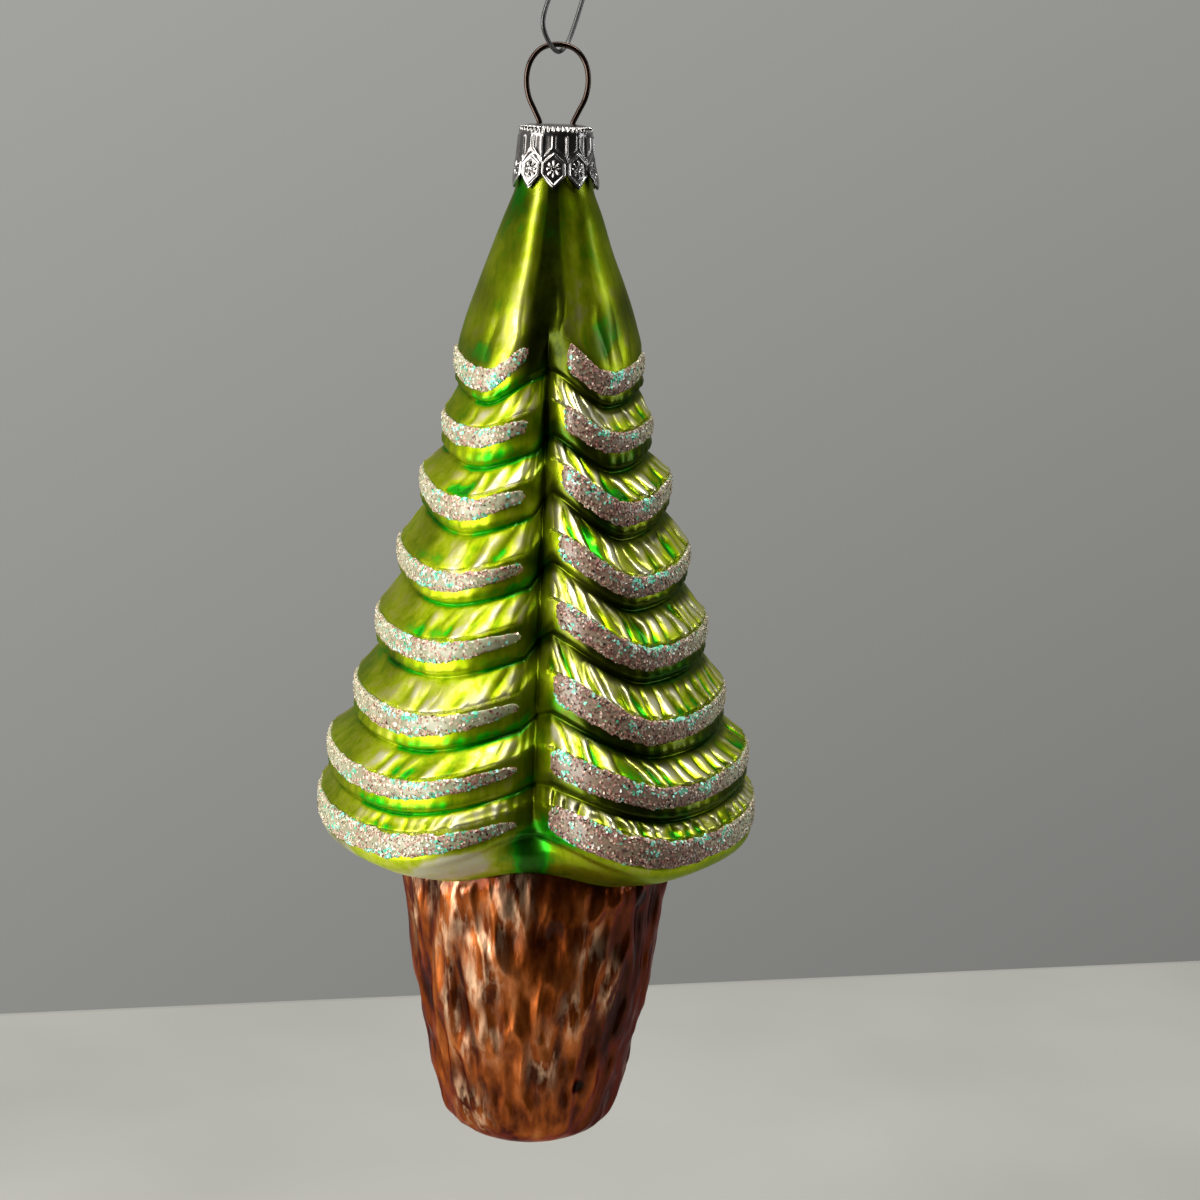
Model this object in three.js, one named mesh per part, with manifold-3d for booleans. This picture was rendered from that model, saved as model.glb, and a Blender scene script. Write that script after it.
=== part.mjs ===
// Blown glass Christmas tree ornament hanging from a wire hook: a silvered, lacquered tree in a bark trunk,
// its crown cap, its spring ring and its lines of glitter. Millimetres, +Z up, front of the tree towards -Y.
// The origin is where a branch bears on the inside of the hook's crook.
// A level is a height above the cap's knurled rim, so the glass has negative levels.
import * as THREE from "three";
import { mergeVertices } from "three/addons/utils/BufferGeometryUtils.js";
import Module from "manifold-3d";

const CLEARANCE = 0.3; // gap between pieces that touch
const OVERCUT = 0.01; // how far a cutting shape passes the face that it cuts

// Wire hook
const HOOK_WIRE = 0.7;
const HOOK_REACH = 30; // from the wire's centre in the lower eye to the underside of the crook
const HOOK_TURN = 56; // degrees that the hook's plane is turned from the ring's plane
const CROOK_RADIUS = 6.6;
const CROOK_TIP = 6;
const EYE_HALF_WIDTH = 4;
const EYE_HEIGHT = 7.6;
const EYE_TIP = 2;

// Spring ring
const RING_WIRE = 0.8;
const RING_WIDTH = 9.8;
const RING_TOP = 13; // level of the top of the ring
const LEG_SPACING = 4.8;
const LEG_REACH = 14; // how far the legs go down below the cap
const LEG_SPLAY = 6;

// Crown cap
const CAP_SHEET = 0.4;
const CAP_TOP = 1.3;
const CAP_RIM_RADIUS = 5.65;
const CAP_ROUND = 0.4; // rounding of the corner between the disc and the skirt
const CAP_FLARE = 0.65; // how much wider the petals stand at their tips
const CAP_DEPTH = 8; // from the rim to the petal tips
const PETALS = 10;
const PETAL_POINT = 2.9; // height of a petal's pointed end
const FLUTE = 0.12; // how far the flutes of the skirt stand out
const FLUTE_TOP = -1; // level where the flutes start
const RIM_BEAD = 0.15; // how far the knurled rim stands out

// Glass shell
const WALL = 1.2;
const NECK_WALL = 0.9;
const CONE_SWELL = 0.4; // how far the cone above the tiers swells beyond a straight one
const CONE_STOPS = [0.22, 0.54, 0.86]; // shares of the cone's height
const WAIST_DROP = 3.8; // from the middle of an eave down to the waist under it
const EAVE_MARGIN = 0.1; // of eave above and below its glitter line
const ROOF_SWELL = 0.3;

// Each tier: drop of its glitter from the glitter above or the cap's rim, radius of the glitter at the
// tree's side, recess of the waist below it, height of the glitter line, how far the eave hangs lower at the
// front of a lobe than at the side, and how far it climbs again to the grooves on the left and the right lobe
const TIERS = [
  { drop: 33.1, radius: 14.7, recess: 1.1, glitter: 3.8, droop: 2.6, climbLeft: 6, climbRight: 5.6 },
  { drop: 9.3, radius: 16.3, recess: 0.9, glitter: 3.2, droop: 1.2, climbLeft: 2.4, climbRight: 4.4 },
  { drop: 8.7, radius: 19.45, recess: 1.4, glitter: 3.6, droop: 3, climbLeft: 3, climbRight: 6.8 },
  { drop: 10.7, radius: 22.65, recess: 1.4, glitter: 3.6, droop: 2.4, climbLeft: 2.8, climbRight: 6.8 },
  { drop: 10.8, radius: 25.7, recess: 1.3, glitter: 3.8, droop: 1.4, climbLeft: 3, climbRight: 7.2 },
  { drop: 10.3, radius: 28.8, recess: 0.9, glitter: 3.8, droop: 1.6, climbLeft: 3.6, climbRight: 7.2 },
  { drop: 8.9, radius: 32.7, recess: 1.1, glitter: 3.4, droop: 1.4, climbLeft: 3.6, climbRight: 5.2 },
  { drop: 8.6, radius: 34, recess: 1.5, glitter: 4.8, droop: 0.9, climbLeft: 3.6, climbRight: 4.4 },
];
const SKIRT_DROP = 5.3; // from the lowest glitter to the skirt's lower edge
const SKIRT_TUCK = 2.7; // how much narrower that edge is than the lowest glitter
const SKIRT_CLIMB = 5.6; // how far the skirt's edge climbs to a groove
const CLIMB_SPAN = 42; // degrees from a groove over which an eave climbs, and beyond which its droop fades
const CLIMB_START = -12; // level above which nothing climbs or droops
const GROOVE_DEPTH = 0.24; // share of the radius
const CONE_GROOVE_DEPTH = 0.12;
const GROOVE_WIDTH = 15; // degrees
const SIDE_BLEND = 6; // degrees over which the left lobe's climb turns into the right lobe's

// Trunk: its side and its rounded base by how far they lie below its top and how much narrower they are
const UNDERSIDE_DROP = 3.7; // from the skirt's edge to the top of the trunk
const TRUNK_RADIUS = 20.6;
const TRUNK_HEIGHT = 44.6;
const TRUNK_SIDE = [
  { drop: 4.1, taper: 0.4 },
  { drop: 20.4, taper: 2.6 },
  { drop: 28.6, taper: 4.4 },
  { drop: 39.6, taper: 7.1 },
];
const BASE_ROUND = [
  { drop: 42.5, taper: 8.9 },
  { drop: 44.1, taper: 11.8 },
];

// Glitter lines
const GLITTER_THICKNESS = 0.7;
const GLITTER_START = 7.5; // degrees from a groove
const GLITTER_TAPER = 30; // degrees
const GLITTER_FIRST_STEP = 2; // least degrees between a line's end and its next ring
const GLITTER_END_LEFT = 0.35;
const GLITTER_END_RIGHT = 0.75;

// Facets
const COLUMNS = 52;
const COLUMN_PINCH = 0.2; // radians by which the columns crowd towards the grooves
const WIRE_SIDES = 6;
const HOOK_STEPS = 84;
const RING_STEPS = 72;
const HOLE_SIDES = 12;
const CAP_COLUMNS = 4 * PETALS;

const degrees = THREE.MathUtils.degToRad;
const clamp = THREE.MathUtils.clamp;
const mix = THREE.MathUtils.lerp;

const discUnderside = CAP_TOP - CAP_SHEET;
const neckTop = discUnderside - CAP_ROUND;
const neckRadius = CAP_RIM_RADIUS - CAP_SHEET - CLEARANCE;
const petalTipLevel = -CAP_DEPTH;
const shoulderRadius = neckRadius + CAP_FLARE;
const ringTopCentre = RING_TOP - RING_WIRE / 2;
const eyeCentre = ringTopCentre - RING_WIRE / 2 - HOOK_WIRE / 2 - CLEARANCE;
const crookUnderside = eyeCentre + HOOK_REACH;

let tierLevel = 0;
const tiers = TIERS.map((tier) => {
  tierLevel -= tier.drop;
  return { ...tier, level: tierLevel };
});
const lastTier = tiers[tiers.length - 1];
const skirtEdge = { level: lastTier.level - SKIRT_DROP, radius: lastTier.radius - SKIRT_TUCK };
const trunkTop = { level: skirtEdge.level - UNDERSIDE_DROP, radius: TRUNK_RADIUS };
const belowTrunkTop = ({ drop, taper }) => ({
  level: trunkTop.level - drop,
  radius: trunkTop.radius - taper,
});
const trunkSide = TRUNK_SIDE.map(belowTrunkTop);
const baseRound = BASE_ROUND.map(belowTrunkTop);
const baseLevel = trunkTop.level - TRUNK_HEIGHT;

const eaveRadius = (tier) => tier.radius - GLITTER_THICKNESS - CLEARANCE;
const eaveTop = (tier) => tier.level + tier.glitter / 2 + EAVE_MARGIN;
const eaveBottom = (tier) => tier.level - tier.glitter / 2 - EAVE_MARGIN;
const waist = (tier) => ({ level: tier.level - WAIST_DROP, radius: tier.radius - tier.recess });
const coneSide = CONE_STOPS.map((share) => ({
  level: mix(petalTipLevel, eaveTop(tiers[0]), share),
  radius: mix(shoulderRadius, eaveRadius(tiers[0]), share) + CONE_SWELL * Math.sin(Math.PI * share),
}));

const wasm = await Module();
wasm.setup();

function solid(geometry) {
  const bare = geometry.index ? geometry.toNonIndexed() : geometry.clone();
  bare.deleteAttribute("normal");
  bare.deleteAttribute("uv");
  const merged = mergeVertices(bare, 1e-4);
  const mesh = new wasm.Mesh({
    numProp: 3,
    vertProperties: merged.attributes.position.array,
    triVerts: new Uint32Array(merged.index.array),
  });
  return new wasm.Manifold(mesh);
}

function geometryOf(body) {
  const mesh = body.getMesh();
  const geometry = new THREE.BufferGeometry();
  geometry.setAttribute("position", new THREE.BufferAttribute(mesh.vertProperties, 3));
  geometry.setIndex(new THREE.BufferAttribute(mesh.triVerts, 1));
  geometry.computeVertexNormals();
  return geometry;
}

// Value at a level, straight between stops that are listed from the top down
function atLevel(stops, level) {
  if (level >= stops[0].level) return stops[0].value;
  for (let i = 1; i < stops.length; i++) {
    const above = stops[i - 1];
    const below = stops[i];
    if (level >= below.level) {
      const share = (above.level - level) / (above.level - below.level);
      return mix(above.value, below.value, share);
    }
  }
  return stops[stops.length - 1].value;
}

function tierStops(key, atSkirtEdge) {
  return [
    { level: CLIMB_START, value: 0 },
    ...tiers.map((tier) => ({ level: tier.level, value: tier[key] })),
    { level: skirtEdge.level, value: atSkirtEdge },
    { level: trunkSide[0].level, value: 0 },
  ];
}

const climbLeft = tierStops("climbLeft", SKIRT_CLIMB);
const climbRight = tierStops("climbRight", SKIRT_CLIMB);
const droop = tierStops("droop", 0);
const grooveStops = [
  { level: petalTipLevel, value: 0 },
  { level: coneSide[1].level, value: CONE_GROOVE_DEPTH },
  { level: tiers[1].level, value: GROOVE_DEPTH },
  { level: skirtEdge.level, value: GROOVE_DEPTH },
  { level: trunkTop.level, value: 0 },
];

// Degrees from the nearest groove: 0 at the front and the back of the tree, 90 at its sides
function fromGroove(angle) {
  return THREE.MathUtils.radToDeg(Math.asin(Math.min(1, Math.abs(Math.sin(angle)))));
}

// How much higher a point lies than it does in the turned form
function lift(angle, level) {
  const rightShare = clamp(0.5 + Math.sin(angle) / (2 * Math.sin(degrees(SIDE_BLEND))), 0, 1);
  const climb = mix(atLevel(climbLeft, level), atLevel(climbRight, level), rightShare);
  const away = fromGroove(angle);
  const towardsGroove = Math.min(1, away / CLIMB_SPAN);
  const towardsSide = Math.max(0, (away - CLIMB_SPAN) / (90 - CLIMB_SPAN));
  const climbed = (climb * (1 + Math.cos(Math.PI * towardsGroove))) / 2;
  return climbed - (atLevel(droop, level) * (1 + Math.cos(Math.PI * towardsSide))) / 2;
}

function lobe(angle, level) {
  const share = fromGroove(angle) / GROOVE_WIDTH;
  return 1 - atLevel(grooveStops, level) * Math.exp(-share * share);
}

// A point of the two-lobed form, from its angle round the tree, its turned radius and its turned level
function moulded(angle, radius, level, outset = 0) {
  const reach = radius * lobe(angle, level) + outset;
  return new THREE.Vector3(reach * Math.sin(angle), -reach * Math.cos(angle), level + lift(angle, level));
}

// Angle of a column, crowded towards the grooves, where the form bends most
function columnAngle(turn) {
  return turn - COLUMN_PINCH * Math.sin(2 * turn);
}

function wireAlong(points, diameter, steps) {
  const section = new THREE.Shape().absarc(0, 0, diameter / 2, 0, 2 * Math.PI);
  return new THREE.ExtrudeGeometry(section, {
    steps,
    curveSegments: WIRE_SIDES / 2,
    bevelEnabled: false,
    extrudePath: new THREE.CatmullRomCurve3(points, false, "centripetal"),
  });
}

// Points of the hook in its own plane: across the eye, and up from the wire's centre at the eye's bottom
function hookOutline() {
  const crookCentre = HOOK_REACH + HOOK_WIRE / 2 - CROOK_RADIUS;
  const freeEnd = [
    [EYE_HALF_WIDTH + 1.35 * EYE_TIP, EYE_HEIGHT + EYE_TIP],
    [EYE_HALF_WIDTH + 0.85 * EYE_TIP, EYE_HEIGHT],
    [0.95 * EYE_HALF_WIDTH, EYE_HEIGHT / 2],
    [EYE_HALF_WIDTH / 2, EYE_HEIGHT / 7],
  ];
  const shank = [
    [0, 0],
    [-0.6 * EYE_HALF_WIDTH, EYE_HEIGHT / 6],
    [-EYE_HALF_WIDTH, EYE_HEIGHT / 2],
    [-0.65 * EYE_HALF_WIDTH, EYE_HEIGHT],
    [CROOK_RADIUS / 10, mix(EYE_HEIGHT, crookCentre, 0.3)],
    [0.7 * CROOK_RADIUS, mix(EYE_HEIGHT, crookCentre, 0.6)],
  ];
  const crook = [0, 45, 90, 135, 180].map((turn) => [
    CROOK_RADIUS * Math.cos(degrees(turn)),
    crookCentre + CROOK_RADIUS * Math.sin(degrees(turn)),
  ]);
  const tip = [
    [-1.04 * CROOK_RADIUS, crookCentre - CROOK_TIP / 2],
    [-1.18 * CROOK_RADIUS, crookCentre - CROOK_TIP],
  ];
  return [...freeEnd, ...shank, ...crook, ...tip];
}

function wireHook() {
  const turn = degrees(HOOK_TURN);
  const points = hookOutline().map(
    ([across, up]) => new THREE.Vector3(across * Math.cos(turn), across * Math.sin(turn), eyeCentre + up),
  );
  return wireAlong(points, HOOK_WIRE, HOOK_STEPS);
}

function springRing() {
  const halfWidth = (RING_WIDTH - RING_WIRE) / 2;
  const halfSpacing = LEG_SPACING / 2;
  const loopHeight = ringTopCentre - CAP_TOP;
  const oneSide = [
    [LEG_SPLAY / 2, discUnderside - LEG_REACH],
    [(LEG_SPLAY + LEG_SPACING) / 4, discUnderside - LEG_REACH / 2],
    [halfSpacing, discUnderside - LEG_REACH / 14],
    [halfSpacing, CAP_TOP],
    [mix(halfSpacing, halfWidth, 0.27), CAP_TOP + 0.14 * loopHeight],
    [mix(halfSpacing, halfWidth, 0.78), CAP_TOP + 0.34 * loopHeight],
    [halfWidth, CAP_TOP + 0.57 * loopHeight],
    [0.9 * halfWidth, CAP_TOP + 0.79 * loopHeight],
    [0.55 * halfWidth, CAP_TOP + 0.95 * loopHeight],
  ];
  const left = oneSide.map(([x, level]) => new THREE.Vector3(-x, 0, level));
  const top = new THREE.Vector3(0, 0, ringTopCentre);
  const right = oneSide.map(([x, level]) => new THREE.Vector3(x, 0, level)).reverse();
  return wireAlong([...left, top, ...right], RING_WIRE, RING_STEPS);
}

// Stands a turned profile upright: the pairs are radius and level
function turned(profile, columns) {
  const points = profile.map(([radius, level]) => new THREE.Vector2(radius, level));
  return new THREE.LatheGeometry(points, columns).rotateX(Math.PI / 2);
}

function capShell() {
  const tipRadius = CAP_RIM_RADIUS + CAP_FLARE;
  const sheet = CAP_SHEET;
  const profile = [
    [0, discUnderside],
    [CAP_RIM_RADIUS - sheet - CAP_ROUND, discUnderside],
    [CAP_RIM_RADIUS - sheet, discUnderside - CAP_ROUND],
    [CAP_RIM_RADIUS - sheet, FLUTE_TOP],
    [tipRadius - sheet, petalTipLevel],
    [tipRadius, petalTipLevel],
    [CAP_RIM_RADIUS, FLUTE_TOP],
    [CAP_RIM_RADIUS + RIM_BEAD, FLUTE_TOP / 2],
    [CAP_RIM_RADIUS, CAP_TOP - CAP_ROUND - sheet],
    [CAP_RIM_RADIUS - CAP_ROUND, CAP_TOP],
    [0, CAP_TOP],
  ];
  const shell = turned(profile, CAP_COLUMNS);
  const place = shell.attributes.position;
  const point = new THREE.Vector3();
  for (let i = 0; i < place.count; i++) {
    point.fromBufferAttribute(place, i);
    const radius = Math.hypot(point.x, point.y);
    if (radius > 0 && point.z < FLUTE_TOP) {
      const ripple = FLUTE * (1 + Math.cos(PETALS * Math.atan2(point.x, point.y)));
      const wider = 1 + ripple / radius;
      place.setXYZ(i, point.x * wider, point.y * wider, point.z);
    }
  }
  return shell;
}

// The gap between two petals: a wedge pointing up, cut through the skirt
function petalGap(index) {
  const halfWidth = ((CAP_RIM_RADIUS + CAP_FLARE + 2 * FLUTE) * Math.PI) / PETALS;
  const outline = new THREE.Shape([
    new THREE.Vector2(-halfWidth, petalTipLevel - OVERCUT),
    new THREE.Vector2(halfWidth, petalTipLevel - OVERCUT),
    new THREE.Vector2(0, petalTipLevel + PETAL_POINT),
  ]);
  const wedge = new THREE.ExtrudeGeometry(outline, { depth: CAP_RIM_RADIUS, bevelEnabled: false });
  wedge.rotateX(Math.PI / 2);
  wedge.translate(0, -CAP_RIM_RADIUS / 2, 0);
  return wedge.rotateZ(((index + 0.5) * 2 * Math.PI) / PETALS);
}

function legHole(x) {
  const radius = RING_WIRE / 2 + CLEARANCE;
  const hole = new THREE.CylinderGeometry(radius, radius, 4 * CAP_SHEET, HOLE_SIDES);
  return hole.rotateX(Math.PI / 2).translate(x, 0, CAP_TOP);
}

function cap() {
  let body = solid(capShell());
  for (const x of [-LEG_SPACING / 2, LEG_SPACING / 2]) body = body.subtract(solid(legHole(x)));
  for (let i = 0; i < PETALS; i++) body = body.subtract(solid(petalGap(i)));
  return geometryOf(body);
}

// Outside of the glass from the neck down to the base
function outerProfile() {
  const points = [
    [neckRadius, neckTop],
    [neckRadius, FLUTE_TOP],
    [shoulderRadius, petalTipLevel],
    ...coneSide.map(({ radius, level }) => [radius, level]),
  ];
  let above = null;
  for (const tier of tiers) {
    const eave = eaveRadius(tier);
    if (above) {
      const roofRadius = mix(above.radius, eave, 0.5) + ROOF_SWELL;
      points.push([above.radius, above.level], [roofRadius, mix(above.level, eaveTop(tier), 0.5)]);
    }
    points.push([eave, eaveTop(tier)], [eave, eaveBottom(tier)]);
    above = waist(tier);
  }
  const skirtAndTrunk = [skirtEdge, trunkTop, ...trunkSide, ...baseRound];
  points.push(...skirtAndTrunk.map(({ radius, level }) => [radius, level]), [0, baseLevel]);
  return points;
}

// Inside of the glass from the neck down to the base
function innerProfile() {
  const points = [
    [neckRadius - NECK_WALL, neckTop],
    [neckRadius - NECK_WALL, FLUTE_TOP],
    [shoulderRadius - WALL, petalTipLevel],
    ...coneSide.map(({ radius, level }) => [radius - WALL, level]),
  ];
  for (const tier of tiers) {
    points.push([eaveRadius(tier) - WALL, tier.level + WALL / 3]);
    if (tier !== lastTier) points.push([waist(tier).radius - WALL, waist(tier).level]);
  }
  for (const { radius, level } of [skirtEdge, trunkTop]) points.push([radius - WALL, level + WALL]);
  for (const { radius, level } of trunkSide) points.push([radius - WALL, level]);
  for (const { radius, level } of baseRound) points.push([radius - WALL, level + WALL]);
  points.push([0, baseLevel + WALL]);
  return points;
}

function glassBody() {
  const shell = turned([...outerProfile().reverse(), ...innerProfile()], COLUMNS);
  const place = shell.attributes.position;
  for (let i = 0; i < place.count; i++) {
    const x = place.getX(i);
    const y = place.getY(i);
    const angle = columnAngle(Math.atan2(x, -y));
    const point = moulded(angle, Math.hypot(x, y), place.getZ(i));
    place.setXYZ(i, point.x, point.y, point.z);
  }
  return shell;
}

// Angles of one glitter line's rings, from the front groove round the side to the back groove
function glitterAngles() {
  const angles = [degrees(GLITTER_START)];
  for (let k = 1; k < COLUMNS / 2; k++) {
    const angle = columnAngle((k * 2 * Math.PI) / COLUMNS);
    if (fromGroove(angle) > GLITTER_START + GLITTER_FIRST_STEP) angles.push(angle);
  }
  angles.push(Math.PI - degrees(GLITTER_START));
  return angles;
}

// A bead of glitter glue along an eave, flat against the glass and peaked outwards
function glitterLine(tier, side) {
  const angles = glitterAngles();
  const steps = angles.length - 1;
  const bead = new THREE.CylinderGeometry(1, 1, 1, 5, steps, false, Math.PI / 5);
  const flat = Math.cos(Math.PI / 5);
  const endShare = side < 0 ? GLITTER_END_LEFT : GLITTER_END_RIGHT;
  const place = bead.attributes.position;
  for (let i = 0; i < place.count; i++) {
    const angle = angles[Math.round((place.getY(i) + 0.5) * steps)];
    const along = clamp((fromGroove(angle) - GLITTER_START) / GLITTER_TAPER, 0, 1);
    const size = mix(endShare, 1, along);
    const level = tier.level + (place.getX(i) * tier.glitter * size) / 2;
    const height = ((flat - place.getZ(i)) / (1 + flat)) * GLITTER_THICKNESS * size;
    const point = moulded(side * angle, eaveRadius(tier), level, CLEARANCE + height);
    place.setXYZ(i, point.x, point.y, point.z);
  }
  return side < 0 ? flipped(bead) : bead;
}

// The same surface with its faces turned round
function flipped(geometry) {
  const turnedRound = geometry.clone();
  const index = turnedRound.index.array;
  for (let i = 0; i < index.length; i += 3) [index[i + 1], index[i + 2]] = [index[i + 2], index[i + 1]];
  return turnedRound;
}

function piece(name, geometry, colour, roughness, metalness) {
  const material = new THREE.MeshStandardMaterial({ color: colour, roughness, metalness });
  const mesh = new THREE.Mesh(geometry, material);
  mesh.name = name;
  return mesh;
}

const ornament = new THREE.Group();
ornament.add(piece("wire_hook", wireHook(), 0x8a8d90, 0.35, 1));
ornament.add(piece("hanger_wire", springRing(), 0x5a3526, 0.3, 1));
ornament.add(piece("cap", cap(), 0xc9c8c6, 0.2, 1));
ornament.add(piece("glass_body", glassBody(), 0x8fa01c, 0.3, 0.6));
tiers.forEach((tier, i) => {
  ornament.add(piece(`glitter_line_left_${i + 1}`, glitterLine(tier, -1), 0xcfc4bc, 0.6, 0));
  ornament.add(piece(`glitter_line_right_${i + 1}`, glitterLine(tier, 1), 0xb09a98, 0.6, 0));
});
ornament.position.z = -crookUnderside;

export default new THREE.Group().add(ornament);
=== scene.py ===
# Blown glass Christmas tree ornament: a silvered tree under a transparent green lacquer, in a copper brown bark
# trunk, with lines of glitter along its branches, a stamped crown cap, a spring ring and a wire hook.
# Metres, +Z up, front of the tree towards -Y, origin where a branch bears in the hook's crook.
import math
from collections import namedtuple
from functools import partial

import bpy
import numpy as np
from mathutils import Matrix, Vector, noise


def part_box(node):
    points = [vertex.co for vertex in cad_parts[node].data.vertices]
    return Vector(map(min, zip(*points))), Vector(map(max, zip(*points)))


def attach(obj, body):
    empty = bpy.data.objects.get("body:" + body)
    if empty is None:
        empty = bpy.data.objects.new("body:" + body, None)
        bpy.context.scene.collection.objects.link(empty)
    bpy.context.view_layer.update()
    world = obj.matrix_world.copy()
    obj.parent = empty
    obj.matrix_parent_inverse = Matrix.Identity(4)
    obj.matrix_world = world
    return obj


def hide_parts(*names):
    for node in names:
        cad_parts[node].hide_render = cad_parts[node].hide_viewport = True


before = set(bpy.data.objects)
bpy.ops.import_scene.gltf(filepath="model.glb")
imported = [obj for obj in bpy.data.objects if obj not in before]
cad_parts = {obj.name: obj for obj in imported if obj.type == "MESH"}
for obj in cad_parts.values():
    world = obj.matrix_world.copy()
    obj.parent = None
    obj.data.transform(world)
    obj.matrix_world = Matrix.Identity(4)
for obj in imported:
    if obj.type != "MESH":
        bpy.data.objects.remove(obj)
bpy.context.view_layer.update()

# The tree: one blown shell of thin glass, silvered inside and sprayed outside with a transparent green lacquer,
# which is thin on the ribs of its branches and pools in the creases. It was blown into a two-part mould, so two
# lobes meet in a groove at the front and at the back. Its neck sits in the crown cap.
MM = 0.001
CAP_TOP = 1.3  # height of the cap's top above its knurled rim; a level is a height above that rim in millimetres
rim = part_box("cap")[1].z - CAP_TOP * MM

NECK_RADIUS = 4.95
NECK_TOP = 0.5
SHOULDER = (5.6, -8)  # radius and level
CONE_SWELL = 0.4
CONE_RADIUS = 11.5  # where the cone's few ribs are counted
LOBES_START = -12  # level where the lobes begin to droop and climb
EAVE_DROP = 3.8  # from the middle of a glitter line down to the crease under its branch
GLITTER_THICKNESS = 0.7
SEAT_GAP = 0.3
SEAT_EDGE = 0.1
GROOVE_DEPTH = 0.24  # share of the radius
CONE_GROOVE_DEPTH = 0.12
GROOVE_WIDTH = 15
NOTCH_DEPTH = 2.6  # the steep fold at the bottom of a groove
NOTCH_WIDTH = 4.2
CLIMB_SPAN = 42  # degrees from the groove
SIDE_BLEND = 6
SKIRT_DROP = 5.3
SKIRT_CLIMB = 5.6
UNDERSIDE_DROP = 3.7
TRUNK_RADIUS = 20.6
TREE_COLUMNS = 204
CONE_RINGS = np.linspace(0.08, 0.94, 12)  # shares of the way down it
# How far a roof sags, by the share of the way down it
ROOF_SAG = [(0.08, -0.2), (0.25, -0.35), (0.5, -0.4), (0.72, -0.3), (0.9, -0.08)]
# (radius, level) round the skirt's edge and in under it
SKIRT = [(33.15, -103.0), (32.7, -104.2), (31.9, -105.1), (30.7, -105.9), (28.9, -106.8), (26.2, -107.7),
         (23.4, -108.6), (21.4, -109.2)]

# One row for each tier of branches, from the top: drop of its glitter from the one above, its radius there,
# recess of the crease below it, height of the glitter, droop at the front of a lobe, climb to the groove on the
# left and on the right, then the needle ribs of the roof above it: spacing, lean and depth on each lobe
Tier = namedtuple("Tier", "drop radius recess glitter droop climb_left climb_right ribs_left ribs_right")
TIERS = [
    Tier(33.1, 14.7, 1.1, 3.8, 2.6, 6.0, 5.6, (3.6, 0.3, 0.16), (3.2, 0.3, 0.16)),
    Tier(9.3, 16.3, 0.9, 3.2, 1.2, 2.4, 4.4, (3.2, 0.3, 0.32), (2.4, 0.2, 0.44)),
    Tier(8.7, 19.45, 1.4, 3.6, 3.0, 3.0, 6.8, (3.0, 0.25, 0.35), (2.5, 0.2, 0.50)),
    Tier(10.7, 22.65, 1.4, 3.6, 2.4, 2.8, 6.8, (3.2, 0.2, 0.36), (2.4, 0.15, 0.52)),
    Tier(10.8, 25.7, 1.3, 3.8, 1.4, 3.0, 7.2, (3.2, 0.2, 0.38), (2.3, 0.1, 0.54)),
    Tier(10.3, 28.8, 0.9, 3.8, 1.6, 3.6, 7.2, (3.2, 0.2, 0.40), (2.3, 0.1, 0.54)),
    Tier(8.9, 32.7, 1.1, 3.4, 1.4, 3.6, 5.2, (3.2, 0.3, 0.42), (2.6, 0.3, 0.60)),
    Tier(8.6, 34.0, 1.5, 4.8, 0.9, 3.6, 4.4, (2.1, 0.1, 0.50), (2.3, 0.1, 0.56)),
]
tier_levels = -np.cumsum([tier.drop for tier in TIERS])
skirt_level = tier_levels[-1] - SKIRT_DROP
trunk_top = skirt_level - UNDERSIDE_DROP
crease_levels = tier_levels - EAVE_DROP
eave_radii = np.array([tier.radius - GLITTER_THICKNESS - SEAT_GAP for tier in TIERS])
crease_radii = np.array([tier.radius - tier.recess for tier in TIERS])
# The blown hollow, a plain tapering bore inside the moulded form
HOLLOW = [(19.2, trunk_top + 0.9), (18.8, -104), (17.0, -92), (12.4, -68), (9.4, -52), (7.2, -40), (6.2, -26),
          (4.4, -8), (4.05, -1), (4.05, NECK_TOP)]

GREEN_LACQUER = [  # from thin to thick
    (0.0, (0.86, 0.83, 0.58)), (0.2, (0.72, 0.72, 0.16)), (0.38, (0.54, 0.66, 0.015)), (0.52, (0.36, 0.48, 0.002)),
    (0.66, (0.17, 0.37, 0.002)), (0.80, (0.010, 0.52, 0.004)), (1.0, (0.004, 0.20, 0.002)),
]
# The dark olive that painted shade darkens the green towards
PAINTED_SHADE_COLOUR = (0.018, 0.028, 0.001, 1)
GREEN_SHEEN = (0.42, 0.5, 0.06, 1)


def mix(a, b, share):
    return a + (b - a) * share


def ease(low, high, value):
    share = np.clip((value - low) / (high - low), 0, 1)
    return share * share * (3 - 2 * share)


def bell(distance, width):
    return np.exp(-np.square(distance / width))


def at_level(stops, level):
    """Value at a level, straight between (level, value) stops listed from the top down."""
    return np.interp(-level, [-stop[0] for stop in stops], [stop[1] for stop in stops])


def radius_at(profile, level):
    """Radius at a level of a chain of (radius, level) listed from the bottom up."""
    return at_level([(stop[1], stop[0]) for stop in reversed(profile)], level)


def tier_stops(field, at_skirt):
    side = [(level, getattr(tier, field)) for level, tier in zip(tier_levels, TIERS)]
    return [(LOBES_START, 0), *side, (skirt_level, at_skirt), (trunk_top - 4.1, 0)]


climb_left = tier_stops("climb_left", SKIRT_CLIMB)
climb_right = tier_stops("climb_right", SKIRT_CLIMB)
droops = tier_stops("droop", 0)
groove_stops = [(SHOULDER[1], 0), (-20.5, CONE_GROOVE_DEPTH), (tier_levels[1], GROOVE_DEPTH),
                (skirt_level, GROOVE_DEPTH), (trunk_top, 0)]
notch_stops = [(-30, 0), (-36.5, 0.5), (tier_levels[1], 1), (tier_levels[-1], 0.8), (trunk_top + 2, 0)]


def from_groove(angle):
    """Degrees from the nearest groove: 0 at the front and the back of the tree, 90 at its sides."""
    return np.degrees(np.arcsin(np.clip(np.abs(np.sin(angle)), 0, 1)))


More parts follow.
